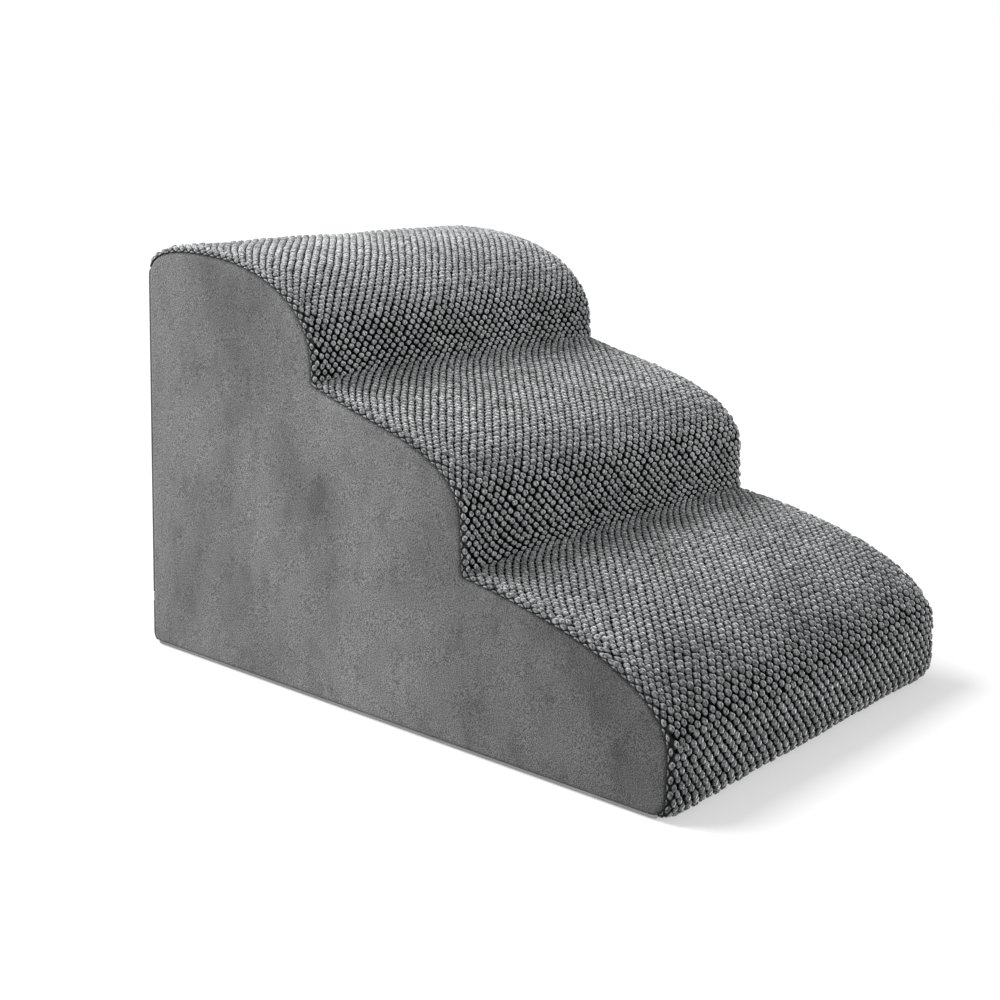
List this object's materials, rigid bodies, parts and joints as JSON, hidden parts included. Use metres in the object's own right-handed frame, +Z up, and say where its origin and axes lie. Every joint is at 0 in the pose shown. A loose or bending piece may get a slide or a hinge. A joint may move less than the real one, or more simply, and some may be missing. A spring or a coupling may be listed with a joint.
{
  "type": "stepped dog ramp",
  "caption": "Foam pet stair with rounded sloping steps, in a pebble plush and velvet cover that zips at the back.",
  "frame": {"origin": "on the floor, under the middle of the stair", "axes": "+Z up, -Y towards the low front step, +Y towards the upright back, X across the steps"},
  "size_m": [0.4, 0.606, 0.38],
  "materials": {
    "pebble_plush": "matte",
    "velvet": "matte",
    "nonslip_cloth": "matte",
    "foam": "matte",
    "zip_tape": "matte",
    "zip_coil": "satin",
    "zip_metal": "satin"
  },
  "bodies": {
    "stair": {"foam_base_slab": "foam", "foam_middle_slab": "foam", "foam_top_slab": "foam", "tread_panel": "pebble_plush", "left_side_panel": "velvet", "right_side_panel": "velvet", "back_panel_upper": "velvet", "back_panel_lower": "velvet", "bottom_panel": "nonslip_cloth", "zip_tape_upper": "zip_tape", "zip_tape_lower": "zip_tape", "zip_coil_upper": "zip_coil", "zip_coil_lower": "zip_coil", "zip_top_stop_upper": "zip_metal", "zip_top_stop_lower": "zip_metal", "zip_bottom_stop": "zip_metal"},
    "slider": {"zip_slider": "zip_metal"},
    "pull": {"zip_pull": "zip_metal"}
  },
  "joints": [
    {"name": "zip_slide", "type": "slide", "parent": "stair", "child": "slider", "axis": [-1, 0, 0], "range_m": [0, 0.336]},
    {"name": "zip_pull_swing", "type": "hinge", "parent": "slider", "child": "pull", "pos_m": [0.168, 0.301, 0.045], "axis": [0, 0, -1], "range_deg": [0, 170]}
  ]
}
